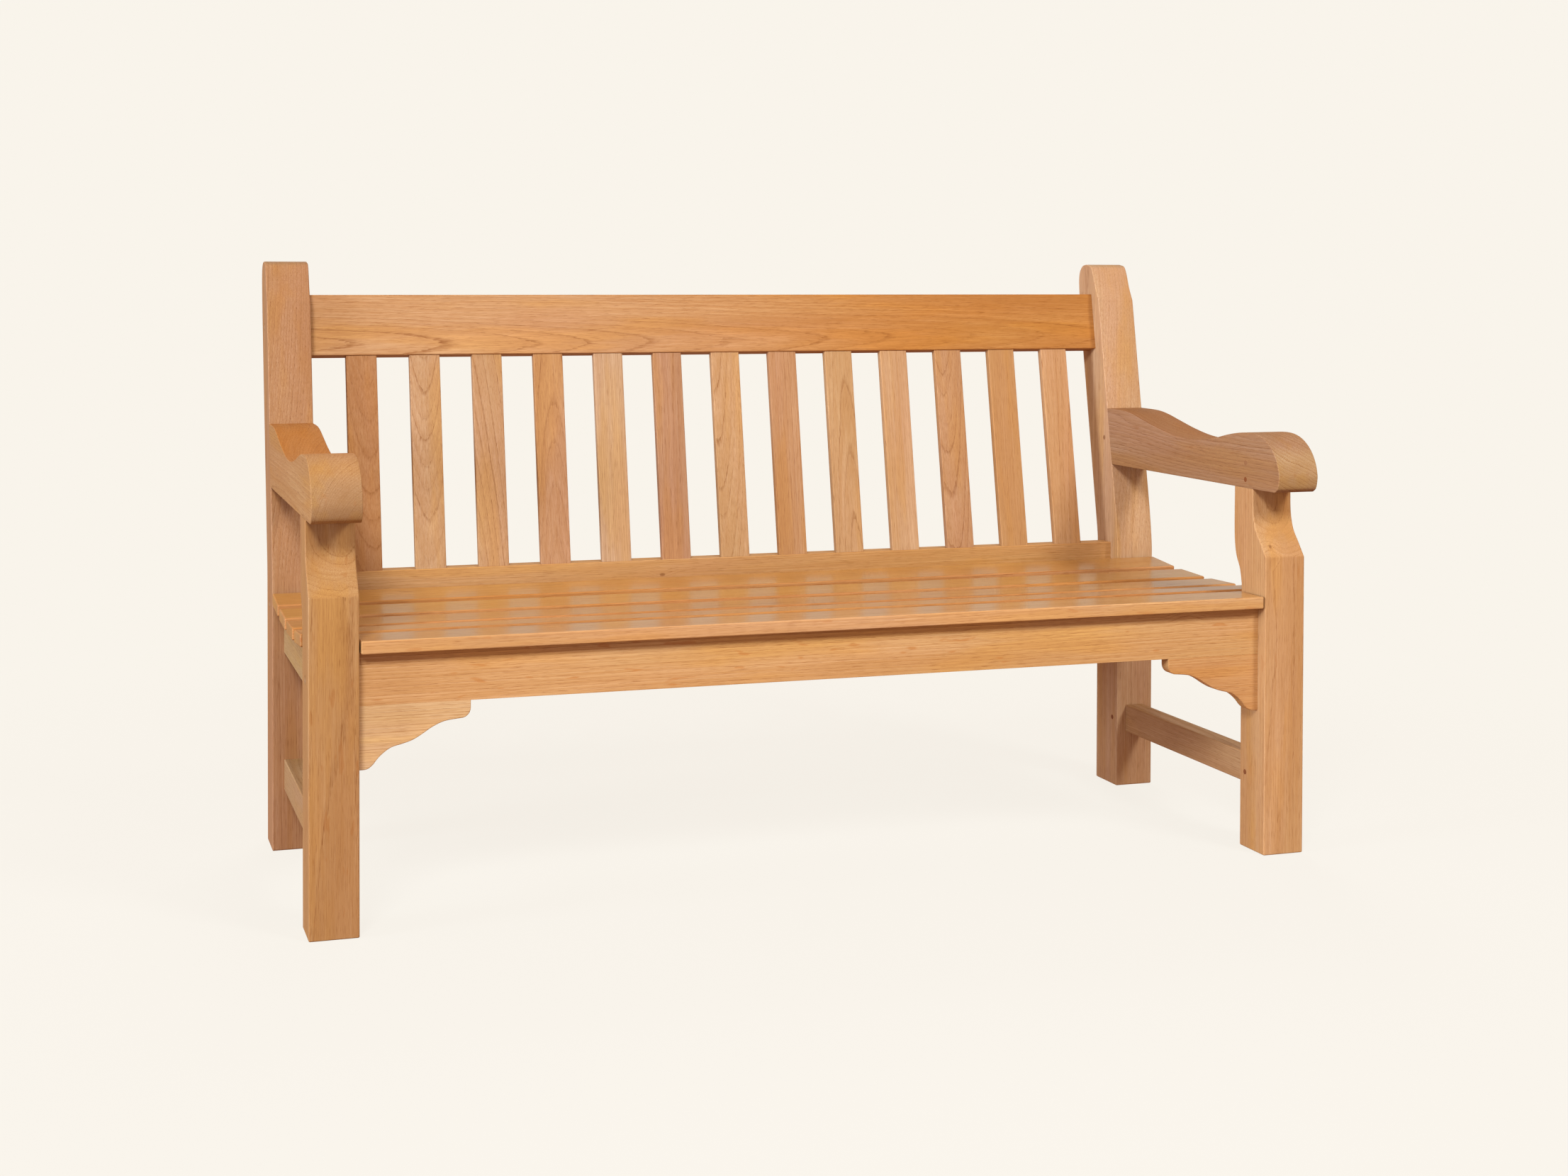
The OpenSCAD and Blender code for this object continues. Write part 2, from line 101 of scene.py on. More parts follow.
def add_world():
    """The camera sees a plain cream backdrop, gloss mirrors a softer one, and the fill is dim and warm."""
    world = bpy.data.worlds.new("studio")
    bpy.context.scene.world = world
    world.use_nodes = True
    g = Graph(world.node_tree)
    g.clear()
    light_path = g.node("ShaderNodeLightPath")
    seen = g.node("ShaderNodeBackground", Color=(*CREAM, 1), Strength=1.0)
    lighting = g.node("ShaderNodeBackground", Strength=1.0)
    g.link(g.mix(light_path.outputs["Is Glossy Ray"], (*WARM_FILL, 1), (*MIRRORED_WALLS, 1)),
           lighting.inputs["Color"])
    both = g.node("ShaderNodeMixShader")
    g.link(light_path.outputs["Is Camera Ray"], both.inputs[0])
    g.link(lighting.outputs[0], both.inputs[1])
    g.link(seen.outputs[0], both.inputs[2])
    out = g.node("ShaderNodeOutputWorld")
    g.link(both.outputs[0], out.inputs[0])


def add_floor():
    """A pale floor that takes the bench's shadow, fades away and is clear from below."""
    mesh = bpy.data.meshes.new("floor")
    bm = bmesh.new()
    bmesh.ops.create_circle(bm, cap_ends=True, segments=96, radius=FLOOR_RADIUS)
    bm.to_mesh(mesh)
    bm.free()
    floor = bpy.data.objects.new("floor", mesh)
    floor.location.z = -FLOOR_GAP
    bpy.context.scene.collection.objects.link(floor)
    mat, g = new_material("floor")
    position = g.node("ShaderNodeTexCoord").outputs["Object"]
    distance = g.vector("LENGTH", position)
    seen = g.node("ShaderNodeLightPath").outputs["Is Camera Ray"]
    paint = g.node("ShaderNodeBsdfDiffuse")
    g.link(g.mix(seen, (*FLOOR_BOUNCE, 1), (*FLOOR_PAINT, 1)), paint.inputs["Color"])
    glow = g.node("ShaderNodeEmission", Strength=1.0)
    g.link(g.mix(seen, (*FLOOR_GLOW, 1), (*CREAM, 1)), glow.inputs["Color"])
    both = g.node("ShaderNodeMixShader")
    g.link(g.between(distance, 0.8, 2.2, 0.91, 1.0), both.inputs[0])
    g.link(paint.outputs[0], both.inputs[1])
    g.link(glow.outputs[0], both.inputs[2])
    from_below = g.node("ShaderNodeMixShader")
    g.link(g.node("ShaderNodeNewGeometry").outputs["Backfacing"], from_below.inputs[0])
    g.link(both.outputs[0], from_below.inputs[1])
    g.link(g.node("ShaderNodeBsdfTransparent").outputs[0], from_below.inputs[2])
    g.link(from_below.outputs[0], g.node("ShaderNodeOutputMaterial").inputs[0])
    mesh.materials.append(mat)


# ---------------------------------------------------------------- node trees

class Graph:
    """Short names for building a node tree. A value given to an input is a number or a socket."""

    def __init__(self, tree):
        self.tree = tree

    def clear(self):
        self.tree.nodes.clear()

    def link(self, output, target):
        self.tree.links.new(output, target)

    def put(self, target, value):
        if isinstance(value, bpy.types.NodeSocket):
            self.link(value, target)
        else:
            target.default_value = value

    def node(self, kind, **inputs):
        n = self.tree.nodes.new(kind)
        for name, value in inputs.items():
            self.put(n.inputs[name.replace("_", " ")], value)
        return n

    def math(self, operation, a, b=0.0, clamp=False):
        n = self.node("ShaderNodeMath")
        n.operation = operation
        n.use_clamp = clamp
        self.put(n.inputs[0], a)
        self.put(n.inputs[1], b)
        return n.outputs[0]

    def vector(self, operation, a, b=None):
        n = self.node("ShaderNodeVectorMath")
        n.operation = operation
        self.put(n.inputs[0], a)
        if b is not None:
            self.put(n.inputs[1], b)
        return n.outputs["Value" if operation in ("LENGTH", "DOT_PRODUCT") else "Vector"]

    def between(self, value, low, high, to_low=0.0, to_high=1.0, smooth=True):
        """Eases from to_low to to_high as value goes from low to high."""
        n = self.node("ShaderNodeMapRange")
        n.interpolation_type = "SMOOTHSTEP" if smooth else "LINEAR"
        for i, v in enumerate((value, low, high, to_low, to_high)):
            self.put(n.inputs[i], v)
        return n.outputs[0]

    def noise(self, place, stretch, detail=2.0, roughness=0.5):
        """Noise with so many cells a metre along each axis."""
        n = self.node("ShaderNodeTexNoise", Scale=1.0, Detail=detail, Roughness=roughness)
        self.link(self.vector("MULTIPLY", place, stretch), n.inputs["Vector"])
        return n.outputs["Fac"]

    def mix(self, share, a, b, how="MIX"):
        n = self.node("ShaderNodeMix")
        n.data_type = "RGBA"
        n.blend_type = how
        colours = [s for s in n.inputs if s.type == "RGBA"]
        self.put(n.inputs[0], share)
        self.put(colours[0], a)
        self.put(colours[1], b)
        return [s for s in n.outputs if s.type == "RGBA"][0]

    def split(self, place):
        n = self.node("ShaderNodeSeparateXYZ", Vector=place)
        return list(n.outputs)

    def join(self, x, y, z):
        n = self.node("ShaderNodeCombineXYZ")
        for i, v in enumerate((x, y, z)):
            self.put(n.inputs[i], v)
        return n.outputs[0]


def new_material(name):
    mat = bpy.data.materials.new(name)
    mat.use_nodes = True
    g = Graph(mat.node_tree)
    g.clear()
    return mat, g


# ---------------------------------------------------------------- wood

# Tints, which a board's own colour is multiplied by
DEEP = (0.78, 0.62, 0.45)
RING_LINE = (0.48, 0.30, 0.18)
CLOUD_DARK = (0.91, 0.86, 0.80)
CLOUD_LIGHT = (1.09, 1.12, 1.18)
BLUSH = (1.0, 0.935, 1.0)
GLOW = (1.05, 0.94, 0.60)
# Edges: lighter and more orange, partly from wear and partly a painted highlight
EDGE_WEAR_AND_HIGHLIGHT = (1.10, 1.01, 0.84)
STAIN = (0.74, 0.46, 0.24)
KNOT_CORE = (0.36, 0.20, 0.12)

# Linear colours that lie over the wood
GREY_FILM = (0.40, 0.32, 0.25)
MOULD = (0.14, 0.105, 0.085)

WOOD_INPUTS = {
    "Place": ("NodeSocketVector", None),
    "Facing": ("NodeSocketVector", None),
    "Up": ("NodeSocketFloat", 0.0),
    "Colour": ("NodeSocketColor", (0.55, 0.28, 0.11, 1)),
    "Pith V": ("NodeSocketFloat", 0.08),
    "Pith W": ("NodeSocketFloat", 0.02),
    "Slope V": ("NodeSocketFloat", 0.01),
    "Slope W": ("NodeSocketFloat", 0.0),
    "Ring": ("NodeSocketFloat", 0.004),
    "Figure": ("NodeSocketFloat", 1.0),
    "Contrast": ("NodeSocketFloat", 1.0),
    "End": ("NodeSocketColor", (1, 1, 1, 1)),
    "Far": ("NodeSocketColor", (1, 1, 1, 1)),
    "Top": ("NodeSocketColor", (1, 1, 1, 1)),
    "Seed": ("NodeSocketFloat", 0.0),
    "Knot": ("NodeSocketVector", (9, 9, 9)),
    "Knot Size": ("NodeSocketFloat", 0.001),
    "Marks": ("NodeSocketFloat", 0.0),
    "Weathered": ("NodeSocketFloat", 0.0),
    "Edge Wear And Highlight": ("NodeSocketFloat", 0.0),
}


def wood_group():
    """Solid wood: growth rings about a pith line along U, with streaks, fibres and pores.

    Place is (U, V, W) in metres from the board's middle, where U runs along the grain, and Facing
    is the surface's normal in the same axes. The same solid is cut by every face, so edges, end
    grain and curves carry the figure that belongs there.
    """
    tree = bpy.data.node_groups.new("solid_wood", "ShaderNodeTree")
    for name, (kind, default) in WOOD_INPUTS.items():
        socket = tree.interface.new_socket(name, in_out="INPUT", socket_type=kind)
        if default is not None:
            socket.default_value = default
    for name, kind in (("Colour", "NodeSocketColor"), ("Roughness", "NodeSocketFloat"),
                       ("Height", "NodeSocketFloat")):
        tree.interface.new_socket(name, in_out="OUTPUT", socket_type=kind)
    g = Graph(tree)
    given = g.node("NodeGroupInput").outputs
    seed = given["Seed"]
    contrast = given["Contrast"]

    # Everything runs with the grain, which may lean from the board's own length
    u, v, w = g.split(given["Place"])
    v = g.math("SUBTRACT", v, g.math("MULTIPLY", u, given["Slope V"]))
    w = g.math("SUBTRACT", w, g.math("MULTIPLY", u, given["Slope W"]))
    own = g.vector("ADD", g.join(u, v, w), g.join(seed, seed, seed))

    # A knot, which the rings flow round
    away = g.vector("MULTIPLY", g.vector("SUBTRACT", g.join(u, v, w), given["Knot"]),
                    (0.55, 1.0, 1.0))
    from_knot = g.math("DIVIDE", g.vector("LENGTH", away), given["Knot Size"])
    bulge = g.math("MULTIPLY", g.between(from_knot, 0.0, 6.0, 2.2, 0.0), given["Knot Size"])

    # Growth rings
    sway = g.math("SUBTRACT", g.noise(own, (1.6, 10, 10), 1.0), 0.5)
    ripple = g.math("SUBTRACT", g.noise(own, (10, 60, 60), 2.0), 0.5)
    wander = g.math("MULTIPLY", g.math("ADD", g.math("MULTIPLY", sway, 0.030),
                                       g.math("MULTIPLY", ripple, 0.0030)), given["Figure"])
    off_v = g.math("SUBTRACT", v, given["Pith V"])
    off_w = g.math("SUBTRACT", w, given["Pith W"])
    radius = g.math("ADD", g.vector("LENGTH", g.join(off_v, off_w, 0.0)), wander)
    radius = g.math("ADD", radius, bulge)
    jag = g.math("SUBTRACT", g.noise(own, (80, 500, 500), 1.0), 0.5)
    radius = g.math("ADD", radius, g.math("MULTIPLY", jag, 0.6 * MM))
    years = g.math("DIVIDE", radius, given["Ring"])
    uneven = g.noise(g.join(g.math("MULTIPLY", years, 0.37), seed, 0.0), (1, 1, 1), 1.0)
    years = g.math("ADD", years, g.math("MULTIPLY", uneven, 2.2))
    year = g.math("FLOOR", years)
    part = g.math("FRACT", years)
    luck = g.node("ShaderNodeTexWhiteNoise")
    luck.noise_dimensions = "1D"
    g.link(g.math("ADD", year, seed), luck.inputs["W"])
    strength = g.between(luck.outputs["Value"], 0.0, 1.0, 0.30, 1.0, smooth=False)
    dash = g.noise(own, (40, 700, 700), 1.0)
    early = g.math("MULTIPLY", g.between(part, 0.0, 0.22, 1.0, 0.0), g.between(part, 0.0, 0.04))
    early = g.math("MULTIPLY", g.math("MULTIPLY", early, strength),
                   g.between(dash, 0.36, 0.60, 0.45, 1.0))
    late = g.between(part, 0.25, 1.0)

    # Streaks and fibres that run with the grain
    along_ring = g.join(u, g.math("ADD", radius, seed), w)
    streak = g.noise(along_ring, (1.8, 380, 80), 3.0, 0.6)
    fibre = g.noise(own, (5, 700, 700), 4.0, 0.70)
    pore_field = g.noise(own, (50, 1400, 1400), 1.0)
    pores = g.math("MULTIPLY", g.between(pore_field, 0.56, 0.66),
                   g.between(early, 0.0, 0.4, 0.45, 1.0))

    # Slow changes of tone through the board
    cloud = g.noise(own, (1.3, 18, 18), 2.0)
    blush = g.noise(g.vector("ADD", own, (7.3, 1.9, 4.1)), (2.2, 13, 13), 2.0)
    glow = g.noise(g.vector("ADD", own, (2.7, 6.1, 8.8)), (3.0, 26, 26), 3.0)
    stain = g.noise(g.vector("ADD", own, (5.5, 3.2, 9.4)), (22, 95, 95), 2.0)
    speck = g.noise(g.vector("ADD", own, (1.2, 8.6, 2.9)), (55, 260, 260), 3.0, 0.7)

    def tinted(base, tint):
        return g.mix(1.0, base, (*tint, 1), "MULTIPLY")

    far = g.mix(g.between(u, -0.35, 0.45), (1, 1, 1, 1), given["Far"])
    base = g.mix(1.0, given["Colour"], far, "MULTIPLY")
    deep = tinted(base, DEEP)
    line = tinted(base, RING_LINE)
    colour = g.mix(g.between(cloud, 0.30, 0.70), tinted(base, CLOUD_DARK),
                   tinted(base, CLOUD_LIGHT))
    colour = g.mix(g.between(blush, 0.42, 0.66, 0.0, 0.75), colour, tinted(colour, BLUSH))
    colour = g.mix(g.between(glow, 0.48, 0.66, 0.0, 0.8), colour, tinted(colour, GLOW))
    colour = g.mix(g.between(streak, 0.42, 0.78, 0.0, 0.38), colour, deep)
    colour = g.mix(g.math("MULTIPLY", g.math("MULTIPLY", late, 0.26), contrast, clamp=True),
                   colour, deep)
    colour = g.mix(g.math("MULTIPLY", g.math("MULTIPLY", early, 0.95), contrast, clamp=True),
                   colour, line)
    colour = g.mix(g.between(fibre, 0.32, 0.68, 0.0, 0.68), colour, deep)
    colour = g.mix(g.math("MULTIPLY", pores, 0.75), colour, line)

    # End grain has its own tint, edges are brighter from wear and from a painted highlight, and knots,
    # stains and mould are dark
    along, across, through = (g.math("ABSOLUTE", n) for n in g.split(given["Facing"]))
    end = g.between(along, 0.55, 0.95)
    colour = g.mix(end, colour, g.mix(1.0, colour, given["End"], "MULTIPLY"))
    # Painted shade: up-facing faces, except near the front end, are multiplied by a darker, more orange
    # tint
    painted_top_shade = g.math("MULTIPLY", g.between(given["Up"], 0.5, 0.9), g.between(u, -0.26, -0.14))
    colour = g.mix(painted_top_shade, colour, g.mix(1.0, colour, given["Top"], "MULTIPLY"))
    squarest = g.math("MAXIMUM", along, g.math("MAXIMUM", across, through))
    # Eased edges get a lighter, more orange tint: partly wear, partly a painted highlight where edges
    # catch the light; the same mask also places small dark nicks
    edge = g.math("MULTIPLY", g.between(squarest, 0.84, 0.97, 1.0, 0.0), given["Edge Wear And Highlight"])
    colour = g.mix(g.math("MULTIPLY", edge, 0.7, clamp=True), colour, tinted(colour, EDGE_WEAR_AND_HIGHLIGHT))
    marks = g.math("MULTIPLY", g.between(stain, 0.65, 0.72), given["Marks"], clamp=True)
    edge_specks = g.math("MULTIPLY", g.between(speck, 0.66, 0.74), edge)
    marks = g.math("ADD", marks, edge_specks, clamp=True)
    colour = g.mix(g.math("MULTIPLY", marks, 0.62), colour, tinted(base, STAIN))
    core = g.between(from_knot, 0.55, 1.1, 1.0, 0.0)
    colour = g.mix(g.math("MULTIPLY", core, 0.7), colour, tinted(base, KNOT_CORE))
    open_sky = g.math("MULTIPLY", g.between(given["Up"], 0.55, 0.95), given["Weathered"])
    film = g.math("MULTIPLY", open_sky, g.between(blush, 0.35, 0.60, 0.15, 0.55), clamp=True)
    colour = g.mix(film, colour, (*GREY_FILM, 1))
    mould = g.math("MULTIPLY", open_sky, g.between(speck, 0.58, 0.66, 0.0, 0.7), clamp=True)
    colour = g.mix(mould, colour, (*MOULD, 1))

    out = g.node("NodeGroupOutput")
    g.link(colour, out.inputs["Colour"])
    rough = g.math("ADD", g.between(streak, 0.3, 0.8, 0.0, 0.07), g.math("MULTIPLY", pores, 0.2))
    rough = g.math("ADD", rough, g.math("MULTIPLY", end, 0.08))
    g.link(rough, out.inputs["Roughness"])
    height = g.math("SUBTRACT", g.math("MULTIPLY", fibre, 0.35), g.math("MULTIPLY", pores, 0.8))
    height = g.math("SUBTRACT", height, g.math("MULTIPLY", early, 0.5))
    height = g.math("SUBTRACT", height, g.math("MULTIPLY", marks, 0.6))
    g.link(height, out.inputs["Height"])
    return tree


GRAIN_ORDER = {"X": (0, 1, 2), "Y": (1, 2, 0), "Z": (2, 0, 1)}


def wood_material(name, middle, board):
    """A board's own wood. middle is the board's middle in the bench's frame."""
    mat, g = new_material(name)
    surface = g.node("ShaderNodeTexCoord").outputs
    order = GRAIN_ORDER[board["grain"]]
    place = g.split(g.vector("SUBTRACT", surface["Object"], middle))
    facing = g.split(surface["Normal"])
    group = g.node("ShaderNodeGroup")
    group.node_tree = bpy.data.node_groups["solid_wood"]
    g.link(g.join(*(place[i] for i in order)), group.inputs["Place"])
    g.link(g.join(*(facing[i] for i in order)), group.inputs["Facing"])
    g.link(facing[2], group.inputs["Up"])
    for socket, value in {
            "Colour": (*(srgb_to_linear(c) for c in TONES[board["tone"]]), 1),
            "Pith V": board["pith"][0] * MM, "Pith W": board["pith"][1] * MM,
            "Slope V": board["slope"][0], "Slope W": board["slope"][1],
            "Ring": board["ring"] * MM, "Figure": board["figure"],
            "Contrast": board["contrast"], "End": (*board["end"], 1),
            "Far": (*board["far"], 1), "Top": (*board["top"], 1), "Seed": board["seed"],
            "Knot": [c * MM for c in board["knot"]], "Knot Size": board["knot_size"] * MM,
            "Marks": board["marks"], "Weathered": board["weathered"],
            "Edge Wear And Highlight": board["wear"]}.items():
        group.inputs[socket].default_value = value
    bump = g.node("ShaderNodeBump", Strength=0.35, Distance=0.25 * MM)
    g.link(group.outputs["Height"], bump.inputs["Height"])
    shader = g.node("ShaderNodeBsdfPrincipled", IOR=1.45)
    shader.inputs["Coat Weight"].default_value = board["coat"]
    shader.inputs["Coat Roughness"].default_value = board["coat_rough"]
    g.link(group.outputs["Colour"], shader.inputs["Base Color"])
    g.link(g.math("ADD", group.outputs["Roughness"], board["rough"]), shader.inputs["Roughness"])
    g.link(bump.outputs[0], shader.inputs["Normal"])
    g.link(shader.outputs[0], g.node("ShaderNodeOutputMaterial").inputs[0])
    return mat


def srgb_to_linear(value):
    c = value / 255
    return c / 12.92 if c <= 0.04045 else ((c + 0.055) / 1.055) ** 2.4


# ---------------------------------------------------------------- boards

# Tones of wood, in sRGB from 0 to 255
TONES = {
    "umber": (165, 125, 85), "brown": (165, 130, 95), "smoke": (160, 130, 100), "bronze": (170, 135, 90),
    "clay": (170, 135, 105), "drab": (170, 145, 110), "moss": (170, 150, 110), "rosy": (175, 140, 105),
    "tan": (180, 145, 110), "sisal": (180, 150, 110), "reed": (180, 150, 115), "maple": (185, 150, 105),
    "sand": (185, 150, 110), "flax": (185, 155, 115), "ash": (185, 160, 130), "hay": (190, 155, 110),
    "straw": (190, 155, 115), "pale": (190, 160, 125), "honey": (195, 155, 105), "gold": (200, 160, 105),
    "barley": (200, 165, 115), "wheat": (200, 165, 120), "cream": (210, 185, 145),
    "amber": (195, 150, 75), "ochre": (190, 145, 75), "copper": (190, 145, 65), "chestnut": (185, 140, 90),
    "russet": (190, 135, 90), "peg": (135, 80, 45),
}

# Lengths are in mm. The pith is the middle of the tree, seen from the board's middle: for grain
# along X it is (Y, Z), along Y it is (Z, X) and along Z it is (X, Y). A pith far off to one side
# gives straight lines on the faces turned towards it, and one behind a face gives arches there.
BOARD = {
    "grain": "X", "tone": "russet", "pith": (70, 15), "slope": (0.004, 0.004), "ring": 3.6,
    "figure": 0.5, "contrast": 1.15, "rough": 0.55, "coat": 0.0, "coat_rough": 0.25,
    "end": (0.92, 0.98, 0.98), "far": (1, 1, 1), "top": (1, 1, 1), "ease": 2.0,
    "knot": (9000, 9000, 9000), "knot_size": 1.0, "marks": 0.0, "weathered": 0.0, "wear": 0.6,
    "slot": "rail_wood",
}

BACK_SLATS = [
    {"tone": "umber", "pith": (4, 55), "slope": (0, -0.085), "ring": 5.5, "contrast": 0.8},
    {"tone": "reed", "pith": (0, 50), "slope": (0, -0.070), "ring": 4.0},
    {"tone": "reed", "pith": (-45, 55), "slope": (0, 0.10), "ring": 6.0},
    {"tone": "rosy", "pith": (3, 46), "slope": (0, 0.055), "ring": 3.6, "contrast": 1.1},
    {"tone": "ash", "pith": (80, 20), "slope": (0.008, 0), "ring": 3.4, "contrast": 1.3},
    {"tone": "clay", "pith": (55, 60), "slope": (0.01, 0.02), "ring": 4.5, "contrast": 0.6},
    {"tone": "flax", "pith": (-22, 45), "slope": (0, -0.05), "ring": 4.4, "contrast": 1.1},
    {"tone": "tan", "pith": (-70, 40), "slope": (0.01, 0.03), "ring": 3.6},
    {"tone": "flax", "pith": (10, 48), "slope": (0, 0.04), "ring": 4.2},
    {"tone": "pale", "pith": (64, 30), "slope": (-0.01, 0.01), "ring": 3.8, "contrast": 0.9},
    {"tone": "tan", "pith": (-12, 52), "slope": (0.01, -0.05), "ring": 4.0},
    {"tone": "maple", "pith": (-75, 15), "slope": (0.01, 0), "ring": 3.2},
    {"tone": "straw", "pith": (30, 50), "slope": (0, 0.04), "ring": 4.4, "contrast": 0.8},
]
SEAT_SLATS = {
    "front_seat_slat": {"tone": "amber", "edge_tone": "wheat", "pith": (30, 75), "marks": 0.6,
                        "weathered": 0.2},
    "seat_slat_1": {"tone": "gold", "edge_tone": "chestnut", "pith": (60, -40), "marks": 0.8},
    "seat_slat_2": {"tone": "ochre", "edge_tone": "chestnut", "pith": (-15, 60), "figure": 0.8},
    "seat_slat_3": {"tone": "copper", "edge_tone": "chestnut", "pith": (-70, -30)},
    "seat_slat_4": {"tone": "ochre", "edge_tone": "chestnut", "pith": (12, 55), "figure": 0.7},
}
BACK_SLAT_THICKNESS = 13 * MM


def back_lean():
    """How far the back slats lean back for each metre of their height."""
    low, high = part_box("back_slat_01")
    return (high.y - low.y - BACK_SLAT_THICKNESS) / (high.z - low.z)


def board_table():
    """What each board is like: its grain, colour, finish and how far its edges are eased."""
    rng = random.Random(11)
    table = {}

    def board(node, **facts):
        table[node] = {**BOARD, "seed": round(rng.uniform(1, 40), 2), **facts}

    post = {"grain": "Z", "slot": "post_wood", "ease": 2.0, "wear": 0.0, "ring": 5.0}
    board("left_rear_post", **post, tone="brown", pith=(-110, 25), figure=0.6, contrast=1.1)
    board("right_rear_post", **post, tone="pale", pith=(-120, 45), figure=0.4, contrast=0.9)
    board("left_front_leg", **post, tone="bronze", pith=(8, 62), marks=0.6, contrast=1.0,
          knot=(182, 21, -34), knot_size=3.0)
    board("right_front_leg", **post, tone="hay", pith=(-8, 56), marks=0.4,
          contrast=0.9, knot=(168, -20, -34), knot_size=4.0)
    arm = {"grain": "Y", "slot": "arm_wood", "ease": 4.5, "wear": 0.0}
    # The arms' top tints are painted shade: they make the arms' top faces darker and more orange than
    # their sides
    board("left_armrest", **arm, tone="bronze", pith=(-60, 70), ring=2.7, marks=0.3,
          contrast=1.1, end=(0.84, 0.90, 1.10), top=(1.12, 0.87, 0.58))
    board("right_armrest", **arm, tone="smoke", pith=(80, 60), ring=5.4, figure=1.5,
          contrast=1.7, marks=0.5, end=(1.14, 1.28, 1.20), top=(0.96, 0.78, 0.56))
    board("left_side_rail", grain="Y", pith=(80, 20), tone="moss")
    board("right_side_rail", grain="Y", pith=(80, -20), tone="chestnut")
    board("left_stretcher", grain="Y", pith=(-75, 25), tone="drab")
    board("right_stretcher", grain="Y", pith=(-75, -25), tone="sisal")
    board("left_bracket", tone="cream", pith=(10, -85), ring=3.6, contrast=1.5,
          figure=0.25, ease=1.6)
    board("right_bracket", tone="honey", pith=(20, 80), ring=3.2, ease=1.6)
    board("top_rail", tone="sand", pith=(58, -40), slope=(0.022, 0.002), ring=3.0, contrast=1.2,
          figure=0.28, far=(0.90, 0.72, 0.40), ease=2.2)
    board("lower_back_rail", tone="hay", pith=(30, -85), knot=(-127, -15, 22),
          knot_size=3.0, far=(1.0, 0.94, 0.76))
    board("front_rail", tone="barley", pith=(15, 95), ring=5.0, figure=0.4, contrast=1.4,
          marks=0.9, knot=(569, -14, 29), knot_size=4.0)
    board("seat_bearer", grain="Y")
    lean = back_lean()
    for i, facts in enumerate(BACK_SLATS):
        across, back = facts["slope"]
        board(f"back_slat_{i + 1:02d}", **{**facts, "slope": (across, lean + back)}, grain="Z",
              slot="slat_wood", ease=1.6)
    for node, facts in SEAT_SLATS.items():
        board(node, **facts, slot="seat_wood", ease=2.4, ring=3.6, rough=0.33, coat=1.0,
              coat_rough=0.23, wear=0.5, end=(0.84, 0.94, 0.94))
    return table


# An edge is eased where it belongs to an outline at least this long, and less where it is in a joint
SHORTEST_EASED = 20 * MM
JOINT_EASE = 0.15
JOINT_GAP = 0.6 * MM
EDGE_SAMPLES = (0.12, 0.37, 0.63, 0.88)
SAMPLES_IN_JOINT = 3
TOP_FACE = 0.8


def sharp_edges(bm, angle=math.radians(28)):
    return [e for e in bm.edges if len(e.link_faces) == 2 and e.is_convex
            and e.calc_face_angle(0) > angle]


def chains(edges):
    """Groups of edges that share vertices."""
    left = set(edges)
    while left:
        chain, todo = [], [left.pop()]
        while todo:
            e = todo.pop()
            chain.append(e)
            for v in e.verts:
                for other in v.link_edges:
                    if other in left:
                        left.remove(other)
                        todo.append(other)
        yield chain


def spread(edges):
    """The longest side of the edges' box."""
    points = [v.co for e in edges for v in e.verts]
    return max(max(p[i] for p in points) - min(p[i] for p in points) for i in range(3))


class Neighbours:
    """Tells whether an edge of one CAD node lies against another node."""

    def __init__(self):
        self.trees = {}
        self.boxes = {}
        for name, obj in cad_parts.items():
            bm = bmesh.new()
            bm.from_mesh(obj.data)
            self.trees[name] = BVHTree.FromBMesh(bm)
            self.boxes[name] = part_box(name)
            bm.free()

    def touches(self, node, point, gap=JOINT_GAP):
        for name, (low, high) in self.boxes.items():
            inside = all(low[i] - gap <= point[i] <= high[i] + gap for i in range(3))
            if name != node and inside:
                if self.trees[name].find_nearest(point, gap)[0] is not None:
                    return True
        return False

    def against(self, node, edge):
        a, b = (v.co for v in edge.verts)
        hits = [self.touches(node, a.lerp(b, t)) for t in EDGE_SAMPLES]
        return sum(hits) >= SAMPLES_IN_JOINT


def timber(node, board, neighbours):
    """The board with its edges eased: fully where they are free, a little at a joint.

    A coated board has the coat on its top only, and its other faces are bare wood of the edge tone.
    """
    bm = bmesh.new()
    bm.from_mesh(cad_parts[node].data)
    bmesh.ops.remove_doubles(bm, verts=bm.verts, dist=0.01 * MM)
    bmesh.ops.dissolve_limit(bm, angle_limit=math.radians(0.6), verts=bm.verts, edges=bm.edges)
    weight = bm.edges.layers.float.new("bevel_weight_edge")
    for chain in chains(sharp_edges(bm)):
        if spread(chain) < SHORTEST_EASED:
            continue
        for edge in chain:
            edge[weight] = JOINT_EASE if neighbours.against(node, edge) else 1.0
    for face in bm.faces:
        face.smooth = True
        face.material_index = int(board["coat"] > 0 and face.normal.z < TOP_FACE)
    mesh = bpy.data.meshes.new(f"{node}_timber")
    bm.to_mesh(mesh)
    bm.free()
    piece = bpy.data.objects.new(f"{node}_timber", mesh)
    bpy.context.scene.collection.objects.link(piece)
    bevel = piece.modifiers.new("eased_edges", "BEVEL")
    bevel.limit_method = "WEIGHT"
    bevel.offset_type = "OFFSET"
    bevel.width = board["ease"] * MM
    bevel.segments = 4
    bevel.miter_outer = "MITER_SHARP"
    bevel.material = 1 if board["coat"] else 0
    normals = piece.modifiers.new("flat_faces", "WEIGHTED_NORMAL")
    normals.weight = 80
    normals.keep_sharp = True
    low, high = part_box(node)
    mesh.materials.append(wood_material(f"{node}_wood", (low + high) / 2, board))
    if board["coat"]:
        uncoated = {**board, "coat": 0.0, "rough": BOARD["rough"], "tone": board["edge_tone"]}
        mesh.materials.append(wood_material(f"{node}_edges", (low + high) / 2, uncoated))
    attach(piece, "root")
    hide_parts(node)


# ---------------------------------------------------------------- fasteners

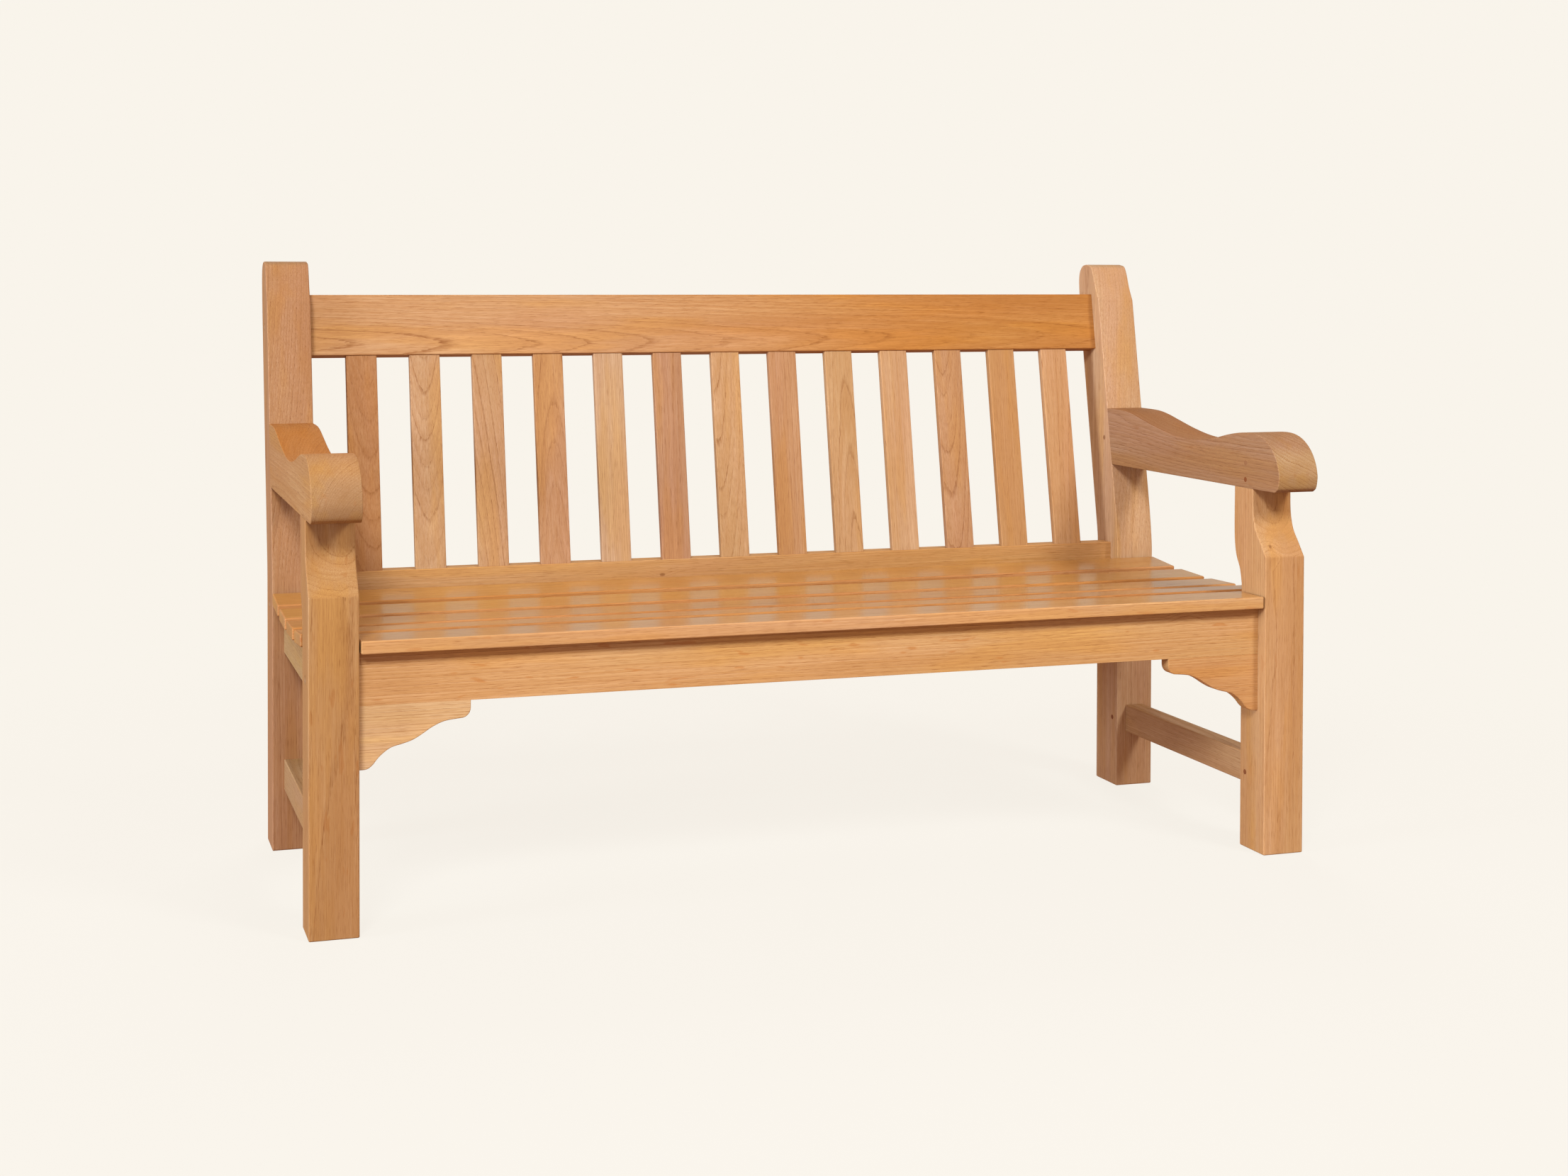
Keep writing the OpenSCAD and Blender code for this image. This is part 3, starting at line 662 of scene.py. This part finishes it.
def steel_material():
    """Zinc-plated steel, dulled unevenly."""
    mat, g = new_material("zinc_steel")
    place = g.node("ShaderNodeTexCoord").outputs["Object"]
    spots = g.noise(place, (300, 300, 300), 3.0, 0.6)
    colour = g.mix(g.between(spots, 0.35, 0.7), (0.22, 0.205, 0.185, 1), (0.10, 0.085, 0.07, 1))
    shader = g.node("ShaderNodeBsdfPrincipled", Metallic=1.0)
    g.link(colour, shader.inputs["Base Color"])
    g.link(g.between(spots, 0.3, 0.75, 0.38, 0.65), shader.inputs["Roughness"])
    g.link(shader.outputs[0], g.node("ShaderNodeOutputMaterial").inputs[0])
    return mat


UPPER_PEGS_ABOVE_ARM = 26 * MM
UPPER_PEG = (0.29, 0.150, 0.068)


def peg_material():
    """Dark pegs, apart from the upper ones, which nearly match the wood about them."""
    mat = wood_material("peg_wood", (0, 0, 0), {
        **BOARD, "tone": "peg", "ring": 1.6, "pith": (3, 3), "seed": 3.1, "wear": 0.0})
    g = Graph(mat.node_tree)
    shader = next(n for n in mat.node_tree.nodes if n.type == "BSDF_PRINCIPLED")
    dark = shader.inputs["Base Color"].links[0].from_socket
    z = g.split(g.node("ShaderNodeTexCoord").outputs["Object"])[2]
    upper = g.math("GREATER_THAN", z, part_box("left_armrest")[0].z + UPPER_PEGS_ABOVE_ARM)
    colour = g.mix(g.math("MULTIPLY", upper, 0.75), dark, (*UPPER_PEG, 1))
    g.link(colour, shader.inputs["Base Color"])
    return mat


def dress_fasteners():
    """Gives the CAD nodes that no board stands for their materials."""
    steel = steel_material()
    peg = peg_material()
    for name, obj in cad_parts.items():
        if name == "joint_pegs":
            set_material(obj, peg)
        elif not obj.hide_render:
            set_material(obj, steel)


def set_material(obj, mat):
    if not obj.material_slots:
        obj.data.materials.append(mat)
    for slot in obj.material_slots:
        slot.material = mat


# ---------------------------------------------------------------- the scene

def build():
    bpy.context.scene.view_settings.view_transform = "Standard"
    add_world()
    add_camera()
    add_floor()
    add_softbox("key_left", azimuth=-29, elevation=34, distance=5.6, size=1.2, power=225, mirrored=False)
    add_softbox("key_right", azimuth=30, elevation=34, distance=5.6, size=1.2, power=172, mirrored=False)
    add_softbox("left", azimuth=-80, elevation=8, distance=8.0, size=2.0, power=500,
                colour=(0.94, 1.0, 1.10))
    add_softbox("low", azimuth=-12, elevation=5, distance=7.0, size=3.0, power=50,
                colour=(1.0, 0.92, 0.84))
    add_softbox("behind", azimuth=165, elevation=32, distance=6.0, size=3.0, power=200, mirrored=False)
    wood_group()
    neighbours = Neighbours()
    for node, board in board_table().items():
        timber(node, board, neighbours)
    dress_fasteners()


build()
